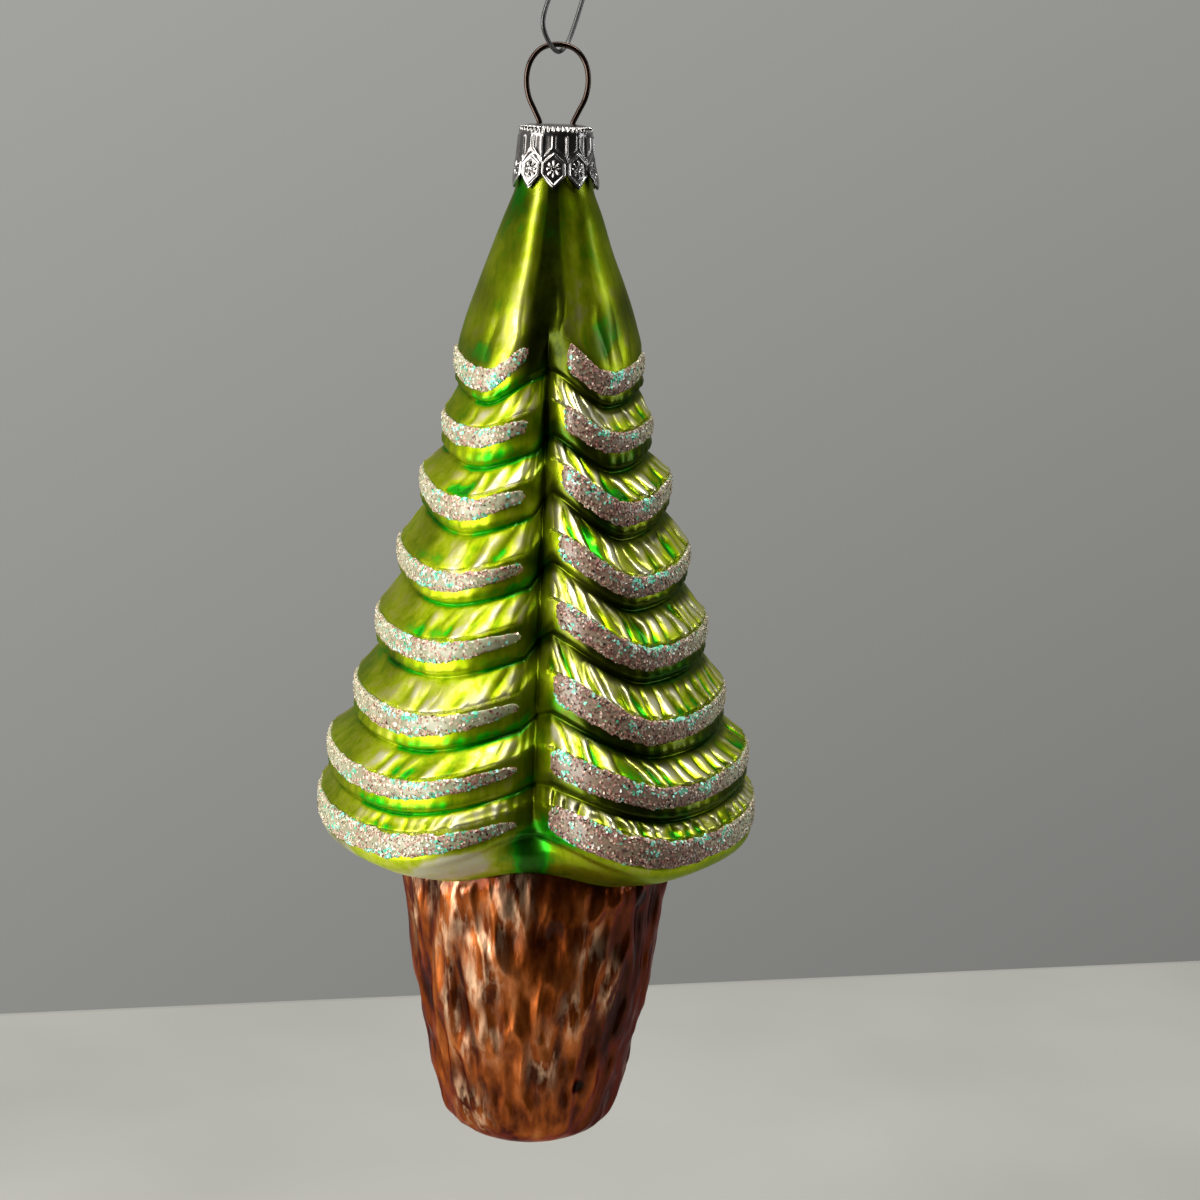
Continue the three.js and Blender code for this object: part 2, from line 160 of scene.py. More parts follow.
def right_share(angle):
    return np.clip(0.5 + np.sin(angle) / (2 * math.sin(math.radians(SIDE_BLEND))), 0, 1)


def moulded(angle, radius, level, outset=0.0):
    """Points, in metres, of the two-lobed form, from angle, turned radius and turned level."""
    away = from_groove(angle)
    climb = mix(at_level(climb_left, level), at_level(climb_right, level), right_share(angle))
    to_groove = np.minimum(1, away / CLIMB_SPAN)
    to_side = np.maximum(0, (away - CLIMB_SPAN) / (90 - CLIMB_SPAN))
    lift = climb * (1 + np.cos(np.pi * to_groove)) / 2
    lift = lift - at_level(droops, level) * (1 + np.cos(np.pi * to_side)) / 2
    lobe = 1 - at_level(groove_stops, level) * bell(away, GROOVE_WIDTH)
    fold = mix(np.exp(-away / NOTCH_WIDTH), bell(away, 2 * NOTCH_WIDTH), ease(-97, -102, level))
    notch = NOTCH_DEPTH * at_level(notch_stops, level) * fold
    reach = radius * lobe - notch + outset
    return np.stack([reach * np.sin(angle) * MM, -reach * np.cos(angle) * MM, rim + (level + lift) * MM], axis=-1)


def tree_profile():
    """(radius, level) of the rings from the neck to the top of the trunk."""
    rings = [(NECK_RADIUS, NECK_TOP), (NECK_RADIUS, -1), (5.15, -4.5), SHOULDER]
    cone_end = (eave_radii[0], tier_levels[0] + TIERS[0].glitter / 2 + SEAT_EDGE)
    for share in CONE_RINGS:
        radius = mix(SHOULDER[0], cone_end[0], share) + CONE_SWELL * math.sin(math.pi * share)
        rings.append((radius, mix(SHOULDER[1], cone_end[1], share)))
    for i, tier in enumerate(TIERS):
        eave, top, bottom = eave_radii[i], tier_levels[i] + tier.glitter / 2, tier_levels[i] - tier.glitter / 2
        if i > 0:
            for share, sag in ROOF_SAG:
                radius = mix(crease_radii[i - 1], eave, share) + sag
                rings.append((radius, mix(crease_levels[i - 1], top + SEAT_EDGE, share)))
        rings.extend([(eave, top + SEAT_EDGE), (eave + 0.1, bottom + 0.2)])
        if i < len(TIERS) - 1:
            crease, inner = crease_levels[i], crease_radii[i]
            rings.extend([(mix(eave, inner, 0.25) + 0.35, bottom - 0.45), (mix(eave, inner, 0.55) + 0.4, bottom - 1.1),
                          (inner + 0.25, crease + 0.5), (inner - 0.4, crease + 0.14), (inner - 0.45, crease - 0.1)])
    return [*rings, *SKIRT, (TRUNK_RADIUS - 0.2, trunk_top)]


def select_only(piece=None):
    bpy.ops.object.select_all(action="DESELECT")
    if piece:
        piece.select_set(True)
        bpy.context.view_layer.objects.active = piece


def turned(name, profile, columns):
    """Spins a chain of (radius, level) points round the line that the ornament hangs on."""
    select_only()
    radius, level = profile[0]
    place = (radius * MM, 0, rim + level * MM)
    bpy.ops.mesh.primitive_plane_add(size=MM, location=place, enter_editmode=True)
    bpy.ops.mesh.merge(type="CENTER")
    for next_radius, next_level in profile[1:]:
        step = ((next_radius - radius) * MM, 0, (next_level - level) * MM)
        bpy.ops.mesh.extrude_region_move(TRANSFORM_OT_translate={"value": step})
        radius, level = next_radius, next_level
    bpy.ops.mesh.select_all(action="SELECT")
    bpy.ops.mesh.spin(steps=columns, angle=math.tau, center=(0, 0, 0), axis=(0, 0, 1))
    bpy.ops.mesh.select_all(action="SELECT")
    bpy.ops.mesh.remove_doubles(threshold=0.002 * MM)
    bpy.ops.mesh.normals_make_consistent(inside=False)
    bpy.ops.object.mode_set(mode="OBJECT")
    bpy.ops.object.transform_apply()
    piece = bpy.context.object
    piece.name = piece.data.name = name
    return piece


def applied(piece, kind, **settings):
    """Adds a modifier and applies it."""
    modifier = piece.modifiers.new(kind.lower(), kind)
    for name, value in settings.items():
        setattr(modifier, name, value)
    select_only(piece)
    bpy.ops.object.modifier_apply(modifier=modifier.name)


def new_object(name, data):
    made = bpy.data.objects.new(name, data)
    bpy.context.scene.collection.objects.link(made)
    return made


def points_of(piece):
    flat = np.empty(len(piece.data.vertices) * 3)
    piece.data.vertices.foreach_get("co", flat)
    return flat.reshape(-1, 3)


def set_points(piece, points):
    piece.data.vertices.foreach_set("co", points.ravel())
    piece.data.update()


def set_mask(piece, name, values):
    """Keeps one number for each vertex, which the material reads."""
    mask = piece.data.attributes.new(name, "FLOAT", "POINT")
    mask.data.foreach_set("value", np.asarray(values, dtype=np.float32))


def places_of(points):
    """Angle from the front, and radius and level in millimetres, of points."""
    radius = np.hypot(points[:, 0], points[:, 1]) / MM
    return np.arctan2(points[:, 0], -points[:, 1]), radius, (points[:, 2] - rim) / MM


def bumps(*coordinates):
    """Soft noise between -1 and 1 at points given by three arrays."""
    columns = np.broadcast_arrays(*coordinates)
    flat = zip(*(column.ravel() for column in columns))
    return np.array([noise.noise(Vector(point)) for point in flat]).reshape(columns[0].shape)


def lumps(points, width, height, shift=0):
    """Soft noise in lumps of a width and a height."""
    return bumps(points[:, 0] / width, points[:, 1] / width, points[:, 2] / height + shift)


def needle_ribs(away, level, right, front):
    """Ribs of the roofs: phase across them, depth, broken strokes, and the share of the way down, -1 off a roof."""
    phase, depths, needles = np.zeros((3, len(away)))
    roof = np.full(len(away), -1.0)
    half = 3.0 * front
    for i, tier in enumerate(TIERS):
        top = crease_levels[i - 1] - 0.1 if i > 0 else LOBES_START
        share = (top - level) / (top - tier_levels[i] - tier.glitter / 2)
        on_roof = (share > 0) & (share < 1)
        around = np.radians(away) * (mix(crease_radii[i - 1], tier.radius, 0.5) if i > 0 else CONE_RADIUS)
        around = around + 1.6 * bumps(around / 7, level / 6, 3.0 * i + half)
        around = around + 0.8 * bumps(around / 2.2, level / 4, 3.0 * i + half + 9)
        down = np.clip(top - level, 0, 12)
        fade = ease(0.0, 0.45, share) * ease(1.0, 0.93, share)
        if i == 0:
            fade = 0.5 * fade * ease(0.5, 0.8, share)
        for (spacing, lean, depth), here in ((tier.ribs_left, right < 0.5), (tier.ribs_right, right >= 0.5)):
            chosen = on_roof & here
            across = (around - lean * down) / spacing
            across = across - 0.25 * down / (1 + np.abs(around) / 3)
            strokes = bumps(across * 0.9, down / 6, 11.0 * i + half)
            phase[chosen] = across[chosen] + 40 * i
            depths[chosen] = (depth * fade)[chosen]
            needles[chosen] = (0.62 - 1.7 * np.abs(strokes))[chosen]
        roof[on_roof] = share[on_roof]
    calm_side = mix(ease(58, 44, away), 1.0, np.maximum(right, 1.0 - front))
    depths *= ease(3, 9, away) * mix(0.12, 1, calm_side)
    return phase, depths, needles, roof


def shape_tree(tree):
    """Moulds the turned form into lobes with ribbed branches, and keeps where the lacquer is thick or thin, and where
    shade and highlights are painted.
    """
    points = points_of(tree)
    turn, radius, level = places_of(points)
    angle = turn - 0.08 * np.sin(2 * turn) - 0.1 * np.sin(turn)
    outside = radius > radius_at(HOLLOW, level) + 0.4
    away, right, front = from_groove(angle), right_share(angle), np.cos(angle) > 0
    notch = at_level(notch_stops, level)
    phase, rib_depth, needles, roof = needle_ribs(away, level, right, front)
    on_roof = roof >= 0

    # The relief of the ribs, the fascias under the glitter and the hand-blown unevenness
    uneven = np.clip(0.75 + 0.9 * bumps(np.round(phase) * 1.7, level / 9, right * 9), 0.15, 1.3)
    ridge = np.abs(np.cos(np.pi * phase)) ** 0.8 - 0.5
    relief = rib_depth * (uneven * ridge * mix(0.5, 0.9, right) + 1.2 * needles)
    folds = bumps(away / 3.2, level / 9, right * 7 + 3.0 * front) * bell(away - 8, 6) * on_roof
    relief += 0.5 * folds * notch
    heights = np.array([tier.glitter for tier in TIERS])
    below_band = np.min([np.abs(level - (bottom - 1.0)) for bottom in (tier_levels - heights / 2)[:-1]], axis=0)
    fascia = bell(below_band, 0.8)
    relief += 0.07 * fascia * np.sin(np.radians(away) * radius * 2.6) * ease(8, 20, away)
    off_bands = np.min([ease(height / 2, height / 2 + 1, np.abs(level - line))
                        for height, line in zip(heights, tier_levels)], axis=0)
    wave = lumps(points, 0.011, 0.009) * ease(-6, -14, level) * ease(trunk_top, trunk_top + 3, level)
    relief += 0.34 * wave * mix(0.25, 1, off_bands)

    # The lacquer, from 0 where it is thin to 1 where it pools, with painted highlights thinning it further on the
    # cone's streak and the right lobe's rib crests
    crease = np.max([bell(level - (line - 0.05), 0.42) for line in crease_levels[:-1]], axis=0)
    patches, drifts = lumps(points, 0.008, 0.006, 7), lumps(points, 0.015, 0.012, 3)
    pool_low = bell(roof - 0.86, 0.24) * on_roof * ease(0.0, 0.3, patches) * bell(away - 42, 24)
    crest = np.clip(ridge, 0, 0.5) * 2 * np.clip(rib_depth / 0.3, 0, 1)
    inner_left = (1 - right) * ease(60, 46, away)
    skirt = ease(skirt_level + 4.2, skirt_level + 1.5, level)
    skirt_pale = skirt * ease(9, 18, away) * ease(-0.2, 0.2, drifts + 0.4 * patches)
    # A painted highlight streak on either side of the cone's front valley: paler lacquer and lighter painted shade
    streak = bell(away - 22, 8) * front * ease(-37, -30, level)
    lacquer = 0.44 + 0.26 * drifts + 0.05 * ease(-22, -10, level)
    lacquer += np.maximum(crease, 0.5 * fascia) * (0.06 + 0.46 * ease(-0.05, 0.3, patches + 0.35 * inner_left))
    lacquer += 0.42 * pool_low - 0.25 * crest * ease(-0.3, 0.3, drifts)
    # Rib crests are paler where the lacquer runs thin, and paler still on the right lobe as painted highlights
    lacquer -= mix(0.45, 0.7, right) * np.clip(needles + 0.1, -0.5, 0.7) * np.clip(rib_depth / 0.35, 0, 1)
    lacquer += 0.16 * bell(away, 6.5) * notch * ease(-0.5, 0.2, patches)
    lacquer -= mix(0.7, 0.05, right) * skirt_pale * ease(trunk_top, trunk_top + 2, level)
    lacquer += 0.7 * bell(away - 9, 5) * bell(level - skirt_level - 3.5, 2.4) * right * front
    lacquer += 0.8 * bell(away, 6) * ease(tier_levels[-1] + 1, skirt_level, level)
    lacquer += 0.3 * bell(level + 9, 2.4) * bell(away - 60, 26) * (1 - right)
    lacquer -= mix(0.3, 0.1, right) * streak
    pool = np.maximum(crease, 0.6 * fascia) * inner_left + pool_low
    set_mask(tree, "pool", np.clip(np.maximum(pool, skirt * (1 - right)), 0, 1))
    set_mask(tree, "lacquer", np.clip(lacquer, 0, 1))

    # Painted shade: the colour is darkened in the grooves, under the eaves and on the right lobe's fascias, on the
    # cone, at the left side and on the skirt's right, standing in for shade and the dark room mirrored there
    thin = np.max([
        ease(0.45, 0.12, roof) * on_roof * mix(0.05, 1, right) * (level < tier_levels[0]),
        bell(below_band, mix(1.2, 1.8, right)) * mix(0.05, 1.2, right),
        bell(away, mix(11, 7, right)) * notch * mix(0.8, 0.6, right),
        0.6 * bell(away, 5) * (level < tier_levels[-1]),
        0.5 * ease(46, 60, away) * (1 - right),
        0.62 * (1 - 0.3 * streak) * ease(-37, -32, level),
        0.35 * skirt * right,
    ], axis=0)
    silver_and_painted_shade = np.clip(1 - thin * (1 + 0.6 * patches), 0.1, 1)
    # Painted dark reflection down the cone's front valley
    valley_width = mix(9, 15, ease(-10, -34, level))
    valley = ease(1.6, 0.7, away / valley_width) * front * ease(-38, -36.5, level)
    set_mask(tree, "silver_and_painted_shade", np.minimum(silver_and_painted_shade, 1 - 0.95 * valley))
    set_mask(tree, "satin", (1 - right) * ease(-34, -40, level))
    set_mask(tree, "rib_phase", phase)
    set_mask(tree, "rib_depth", rib_depth / 0.6 * mix(0.4, 1, right))
    set_points(tree, np.where(outside[:, None], moulded(angle, radius, level, relief), points))


def feed(tree, target, inputs):
    """Gives plain values or other nodes' outputs to the inputs of a node."""
    for name, value in inputs.items():
        if isinstance(value, bpy.types.NodeSocket):
            tree.links.new(value, target.inputs[name])
        else:
            target.inputs[name].default_value = value


def node(tree, kind, inputs=None, **settings):
    made = tree.nodes.new("ShaderNode" + kind)
    for name, value in settings.items():
        setattr(made, name, value)
    feed(tree, made, inputs or {})
    return made


def noise_value(tree, across, up, detail=3.0):
    """Noise in object coordinates, of the piece that the material is on, scaled across and upwards."""
    place = node(tree, "TexCoord").outputs["Object"]
    place = node(tree, "Mapping", {"Vector": place, "Scale": (across, across, up)}).outputs["Vector"]
    inputs = {"Vector": place, "Scale": 1.0, "Detail": detail, "Roughness": 0.55}
    return node(tree, "TexNoise", inputs).outputs["Fac"]


def math_node(operation, tree, *inputs, clamp=False):
    return node(tree, "Math", dict(enumerate(inputs)), operation=operation, use_clamp=clamp).outputs[0]


plus, minus, times = (partial(math_node, operation) for operation in ("ADD", "SUBTRACT", "MULTIPLY"))


def ramp(tree, value, stops):
    """Colours along a value from 0 to 1."""
    made = node(tree, "ValToRGB", {"Fac": value})
    elements = made.color_ramp.elements
    while len(elements) < len(stops):
        elements.new(0.5)
    for element, (position, colour) in zip(elements, stops):
        element.position = position
        element.color = (*colour, 1)
    return made.outputs["Color"]


def blend(tree, share, first, second):
    """The first colour where the share is 0, and the second where it is 1."""
    return node(tree, "Mix", {"Factor": share, 6: first, 7: second}, data_type="RGBA").outputs[2]


def span(tree, value, low, high, start=0.0, end=1.0, **settings):
    """Maps a value from start..end to low..high."""
    inputs = {"Value": value, "From Min": start, "From Max": end, "To Min": low, "To Max": high}
    return node(tree, "MapRange", inputs, **settings).outputs["Result"]


def bump(tree, height, strength, distance):
    inputs = {"Height": height, "Strength": strength, "Distance": distance * MM}
    return node(tree, "Bump", inputs).outputs["Normal"]


def attribute(tree, name):
    return node(tree, "Attribute", attribute_name=name).outputs["Fac"]


def new_material(name):
    made = bpy.data.materials.new(name)
    made.use_nodes = True
    return made, made.node_tree, made.node_tree.nodes["Principled BSDF"]


def green_lacquer():
    made, tree, shader = new_material("green_lacquer_over_silver")
    depth = attribute(tree, "rib_depth")
    turns = times(tree, attribute(tree, "rib_phase"), math.pi)
    ridge = math_node("ABSOLUTE", tree, math_node("COSINE", tree, turns))
    valley = times(tree, minus(tree, 1.0, ridge), depth)
    mottle = noise_value(tree, 420, 300, 4)
    streak = noise_value(tree, 1400, 420, 2)
    thick = plus(tree, attribute(tree, "lacquer"), times(tree, valley, 0.3))
    thick = plus(tree, thick, span(tree, mottle, -0.32, 0.32))
    thick = plus(tree, thick, span(tree, streak, -0.15, 0.15), clamp=True)
    # Painted shade: darker in the rib valleys and where the shade mask is low, with some random mottle
    painted_shade_and_mottle = times(tree, minus(tree, 1.0, times(tree, valley, 0.45)), attribute(tree, "silver_and_painted_shade"))
    painted_shade_and_mottle = plus(tree, painted_shade_and_mottle, span(tree, mottle, -0.16, 0.16), clamp=True)
    rough = span(tree, noise_value(tree, 260, 180), 0.22, 0.40)
    grain = times(tree, noise_value(tree, 2600, 2600, 2), 0.05)
    feed(tree, shader, {
        "Base Color": blend(tree, painted_shade_and_mottle, PAINTED_SHADE_COLOUR, ramp(tree, thick, GREEN_LACQUER)),
        "Metallic": span(tree, attribute(tree, "pool"), 0.9, 0.4),
        "Specular Tint": GREEN_SHEEN,
        "Roughness": plus(tree, rough, times(tree, attribute(tree, "satin"), 0.14)),
        "Coat Weight": 0.1,
        "Coat Roughness": 0.14,
        "Normal": bump(tree, plus(tree, times(tree, ridge, depth), grain), 0.7, 0.3),
    })
    return made


outer = tree_profile()
tree = turned("glass_tree", [*outer, *HOLLOW, outer[0]], TREE_COLUMNS)
applied(tree, "SUBSURF", levels=1, render_levels=1)
shape_tree(tree)
bpy.ops.object.shade_smooth()
tree.data.materials.append(green_lacquer())
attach(tree, "glass")
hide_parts("glass_body")

# The trunk: the lower end of the same glass, moulded as bark and sprayed with a transparent copper brown lacquer
# over the silvering, darker where it runs into the bark's furrows. Its rounded base is where the glass was closed.
TRUNK_COLUMNS = 150
# (radius, level) from the closed base up the bark, then over the tucked rim and down the hollow
BARK_PROFILE = [
    (0, -154.0), (3.4, -154.0), (6.8, -153.85), (9.6, -153.2), (11.5, -152.1), (12.75, -150.7), (13.6, -149),
    (14.2, -147), (14.7, -145), (15.1, -143.2), (15.5, -141.5), (15.9, -139.7), (16.2, -138), (16.7, -136),
    (17.2, -134), (17.6, -132), (18.0, -129.8), (18.5, -127), (18.9, -124), (19.25, -121.2), (19.6, -118.5),
    (19.9, -116), (20.2, -113.5), (20.4, -112.2), (20.55, -111), (20.6, -110.1), (20.6, trunk_top),
]
TRUNK_HOLLOW = [
    (20.45, trunk_top + 0.6), (19.5, trunk_top + 0.6), (18.2, -118), (16.6, -129.8), (14.8, -138), (12.3, -149),
    (10.2, -151.3), (5, -152.6), (0, -152.7),
]
BARK_REACH = 20.9  # the bark stands no further out than this
# Knots and dents in the bark: degrees from the front, level, radius and height
KNOTS = [
    (-21, -116, 2.2, -0.5), (-35, -113.5, 2.4, 0.45), (-10, -113.5, 2.0, 0.5), (31, -142.3, 1.2, -0.5),
    (52, -113, 2.6, -0.4), (12, -124, 2.6, 0.35), (-48, -128, 2.6, 0.35), (120, -120, 2.8, 0.5),
    (170, -132, 2.4, -0.45), (-120, -124, 2.6, 0.4), (-150, -140, 1.6, -0.5), (75, -133, 2.2, 0.4),
]
# Painted highlights, given as places where the lacquer ran thin over the ridges and the silvering shows: degrees from
# the front and level
PAINTED_HIGHLIGHT_SPOTS = [
    (-45, -112), (-33, -113), (-40, -116), (-6, -112.2), (-13, -115), (-24, -117.4), (-43, -121.5), (-27, -125),
    (-18, -124), (-18, -118.5), (-40, -130), (-38, -135), (-20, -133), (-42, -146.5), (-32, -148), (-62, -112),
    (-66, -118), (28, -119), (24, -129), (10, -137), (40, -126), (96, -117), (125, -131), (150, -119), (172, -141),
    (-170, -124), (-140, -134), (-115, -119), (-95, -143),
]
PAINTED_HIGHLIGHT_RADIUS = 1.9
PITCH_SPOTS = [(31, -142.3, 1.2), (54, -112.6, 1.9), (62, -111.8, 1.2)]  # dark spots in the lacquer
COPPER_LACQUER = [  # from thick to thin
    (0.0, (0.010, 0.003, 0.001)), (0.2, (0.13, 0.024, 0.004)), (0.42, (0.36, 0.082, 0.012)),
    (0.68, (0.62, 0.18, 0.045)), (1.0, (0.95, 0.46, 0.19)),
]
PAINTED_HIGHLIGHT_COLOUR = (1.0, 0.64, 0.40, 1)
COPPER_SHEEN = (0.5, 0.2, 0.08, 1)


def shape_trunk(trunk):
    """Carves the bark, and keeps its height, its dark places, which are real spots of pitch and painted shade, and its
    painted highlights, given as worn lacquer.
    """
    points = points_of(trunk)
    angle, radius, level = places_of(points)
    outside = (radius > radius_at(BARK_PROFILE, level) - 0.55) | (level < -152.9)
    east, north = points[:, 0] / MM, points[:, 1] / MM

    def distance_to(spot_angle, spot_level, stretch):
        gap = np.abs((angle - math.radians(spot_angle) + np.pi) % math.tau - np.pi) * radius
        return np.hypot(gap, (level - spot_level) * stretch)

    ridges = 1 - 2.6 * np.abs(bumps(east / 3.4, north / 3.4, level / 14))
    furrows = bumps(east / 1.6, north / 1.6, level / 5 + 4)
    knobs = bumps(east / 2.8, north / 2.8, level / 7 + 9)
    bark = 0.8 * ridges + 0.4 * furrows + 0.5 * knobs
    bark *= mix(1, 0.15, ease(-149.5, -152.8, level)) * ease(trunk_top + 0.2, trunk_top - 1.2, level)
    for knot_angle, knot_level, size, height in KNOTS:
        bark += height * bell(distance_to(knot_angle, knot_level, 0.75), size)
    # Painted shade: darker towards the right side and just under the skirt, with the real dark spots of pitch
    dark = np.maximum(0.65 * ease(0.3, 0.85, np.sin(angle)),
                      0.45 * ease(trunk_top - 3.5, trunk_top - 0.5, level))
    for spot_angle, spot_level, size in PITCH_SPOTS:
        dark = np.maximum(dark, ease(1.25, 0.7, distance_to(spot_angle, spot_level, 1) / size))
    # Painted highlights: pale patches shaped as lacquer worn thin on the ridges, mostly on the lit left
    worn = np.max([bell(distance_to(*spot, 0.5), PAINTED_HIGHLIGHT_RADIUS) for spot in PAINTED_HIGHLIGHT_SPOTS], axis=0)
    set_mask(trunk, "bark", np.clip(0.5 + 0.5 * bark + 0.45 * ease(-146, -152, level), 0, 1))
    set_mask(trunk, "pitch_and_painted_shade", dark)
    set_mask(trunk, "worn", worn * ease(-1.0, 0.3, bark))
    relief = np.minimum(bark * 0.62 - 0.25, BARK_REACH - radius) * ease(4, 9, radius)
    set_points(trunk, np.where(outside[:, None], moulded(angle, radius, level, relief), points))


def copper_lacquer():
    made, tree, shader = new_material("copper_lacquer_over_silver")
    streak = noise_value(tree, 340, 110, 4)
    blotch = noise_value(tree, 150, 110, 3)
    tone = plus(tree, times(tree, attribute(tree, "bark"), 0.4), span(tree, streak, -0.95, 1.0))
    tone = plus(tree, tone, span(tree, blotch, -0.3, 0.35), clamp=True)
    tone = plus(tree, times(tree, tone, 0.85), 0.08)
    # Darker with the pitch mask: real pitch spots, and painted shade on the right side and under the skirt
    tone = times(tree, tone, minus(tree, 1.0, attribute(tree, "pitch_and_painted_shade")))
    # Painted highlights: pale silvery flecks in the patches of the worn mask
    flecks = times(tree, minus(tree, noise_value(tree, 760, 190, 3), 0.45), 6.0, clamp=True)
    bare = times(tree, attribute(tree, "worn"), flecks)
    feed(tree, shader, {
        "Base Color": blend(tree, bare, ramp(tree, tone, COPPER_LACQUER), PAINTED_HIGHLIGHT_COLOUR),
        "Metallic": 0.92,
        "Specular Tint": COPPER_SHEEN,
        "Roughness": span(tree, noise_value(tree, 300, 120), 0.24, 0.44),
        "Coat Weight": 0.18,
        "Coat Roughness": 0.07,
        "Normal": bump(tree, noise_value(tree, 900, 260, 3), 0.35, 0.3),
    })
    return made


trunk = turned("glass_trunk", [*BARK_PROFILE, *TRUNK_HOLLOW], TRUNK_COLUMNS)
applied(trunk, "SUBSURF", levels=2, render_levels=2)
shape_trunk(trunk)
bpy.ops.object.shade_smooth()
trunk.data.materials.append(copper_lacquer())
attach(trunk, "glass")
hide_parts("glass_body")

# The glitter lines: a bead of pale translucent glue along the eave of each branch, from the front groove round the
# side to the back one, with flakes of iridescent glitter stuck in it. They are fine and sugary at the sides.
BEAD_STEP = 0.55  # between the rings of a bead
BEAD_SIDES = 20
LINE_GAP = 2.4  # from the middle of the groove to the start of a line
FLAKE_RADIUS = (0.15, 0.26)
FLAKE_SINK = 0.45  # how far a flake's point reaches behind its plate, as a share of its radius
FLAKE_TILT = 0.24
FLAKES_PER_AREA = (7.5, 12.5)  # on the left and on the right lobe
# Height of a line against the eave's full line, by degrees from the groove
LINE_LEFT = ([5, 12, 22, 40, 60, 90], [0.28, 0.5, 0.66, 0.88, 0.93, 0.84])
LINE_RIGHT = ([5, 10, 16, 30, 48, 90], [0.95, 1.12, 1.16, 1.0, 0.82, 0.76])
FLAKE_COLOURS = {
    "cream": (0.86, 0.76, 0.56), "sand_pink": (0.80, 0.53, 0.40), "rose": (0.58, 0.27, 0.22),
    "mauve": (0.37, 0.20, 0.16), "burgundy": (0.22, 0.08, 0.07), "umber": (0.12, 0.07, 0.05),
    "black": (0.014, 0.012, 0.012), "grey_cream": (0.38, 0.36, 0.25), "teal": (0.12, 0.78, 0.44),
    "cyan": (0.32, 0.92, 0.76), "white": (0.90, 0.94, 0.86),
}
FIRST_SPARKLE = list(FLAKE_COLOURS).index("teal")
# How often each colour comes, in the order above: at a line's inner end, in its middle and at the side
FLAKES_LEFT = [(6, 12, 22, 22, 20, 4, 2, 4, 2, 2, 4),
               (28, 28, 20, 8, 3, 1, 1, 6, 0.4, 0.4, 4),
               (60, 16, 3, 1.5, 0.5, 0.5, 3, 14, 0.2, 0.2, 5)]
# The right lobe's mixes run darker than the left's: partly the glitter's own colours, partly painted shade on that lobe
FLAKES_RIGHT = [(3, 5, 10, 27, 20, 18, 8, 12, 1, 1, 1),
                (6, 12, 20, 26, 14, 8, 4, 14, 0.3, 0.3, 1),
                (30, 10, 4, 5, 1.5, 2, 4, 42, 0.3, 0.3, 3)]
FLAKES_SPARKLE = (3, 3, 3, 4, 1, 0, 0, 2, 26, 38, 20)
BARE_ENDS = (0.3, 0.4, 0.65, 0.25, 0.85, 0.75, 0.0, 0.2)  # how bare the glue is at each left line's inner end
GLUE = [(0.3, (0.36, 0.39, 0.22)), (0.6, (0.52, 0.53, 0.36)), (0.8, (0.66, 0.65, 0.48))]
# A mauve brown stain on the glue, partly its own colour and partly painted shade on the right lobe
GLUE_STAIN_AND_PAINTED_SHADE = (0.27, 0.18, 0.13, 1)
seeded = np.random.default_rng(12)


def line_start(row):
    """Degrees from the groove where a line begins."""
    return math.degrees(math.asin(LINE_GAP / (0.8 * eave_radii[row])))


def bead_points(row, side, away, across):
    """Points of a line's surface: away in degrees from the front groove, across in radians, 0 facing outwards."""
    tier = TIERS[row]
    angle = side * np.radians(away)
    near = from_groove(angle)
    size = np.interp(near, *(LINE_LEFT if side < 0 else LINE_RIGHT))
    size = size * np.sqrt(np.clip((near - line_start(row) + 0.3) / 2.4, 0.02, 1))
    along = np.radians(away) * tier.radius
    sine, cosine = np.sin(across), np.cos(across)
    wander = bumps(along / 3.1, side * 5.0, row * 3.7)
    swell = 1 + 0.16 * bumps(along / 1.9, side * 9.0, row * 2.3 + 0.5) * np.sign(sine)
    swell = swell + 0.1 * bumps(along / 0.8, side * 4.0, row * 1.9 + 0.2)
    rise = np.sign(sine) * np.abs(sine) ** 0.85 * tier.glitter / 2 * size * swell
    level = tier_levels[row] + 0.16 * wander + rise
    bulge = np.where(cosine > 0, 0.1 + 0.5 * np.abs(cosine) ** 0.7, -0.14)
    bulge = bulge * np.clip(size, 0.45, 1.0) + 0.05 * bumps(along / 1.2, rise / 1.2, row * 1.3)
    return moulded(angle, np.full_like(level, eave_radii[row]), level, bulge)


def glitter_bead(name, row, side):
    """A sphere drawn out along the eave: its poles are the line's two ends."""
    start = line_start(row)
    length = math.radians(180 - 2 * start) * TIERS[row].radius
    select_only()
    bpy.ops.mesh.primitive_uv_sphere_add(segments=BEAD_SIDES, ring_count=int(length / BEAD_STEP), radius=1)
    bead = bpy.context.object
    bead.name = bead.data.name = name
    points = points_of(bead)
    share = np.arccos(np.clip(points[:, 2], -1, 1)) / np.pi
    across = np.arctan2(points[:, 1], points[:, 0])
    away = start + share * (180 - 2 * start)
    near = from_groove(np.radians(away))
    # The mauve stain: partly the glue's own stain, and partly painted shade where it is strong on the right lobe
    set_mask(bead, "mauve", 0.9 * ease(75, 45, near) if side > 0 else 0.35 * bell(near - 50, 15))
    set_points(bead, bead_points(row, side, away, across))
    return bead


def tack():
    """One flake: a thin six-sided plate with a point behind it that sits in the glue."""
    select_only()
    bpy.ops.mesh.primitive_cone_add(vertices=6, radius1=1, radius2=0, depth=2 * FLAKE_SINK, rotation=(math.pi, 0, 0),
                                    enter_editmode=True)
    bpy.ops.mesh.select_all(action="SELECT")
    bpy.ops.transform.resize(value=(1, 0.86, 1), center_override=(0, 0, 0))
    bpy.ops.object.mode_set(mode="OBJECT")
    bpy.ops.object.transform_apply()
    flake = bpy.context.object
    shape = points_of(flake) + (0, 0, -FLAKE_SINK)
    faces = [tuple(face.vertices) for face in flake.data.polygons]
    bpy.data.objects.remove(flake)
    return shape, faces


def unit(vectors):
    return vectors / np.linalg.norm(vectors, axis=1, keepdims=True)


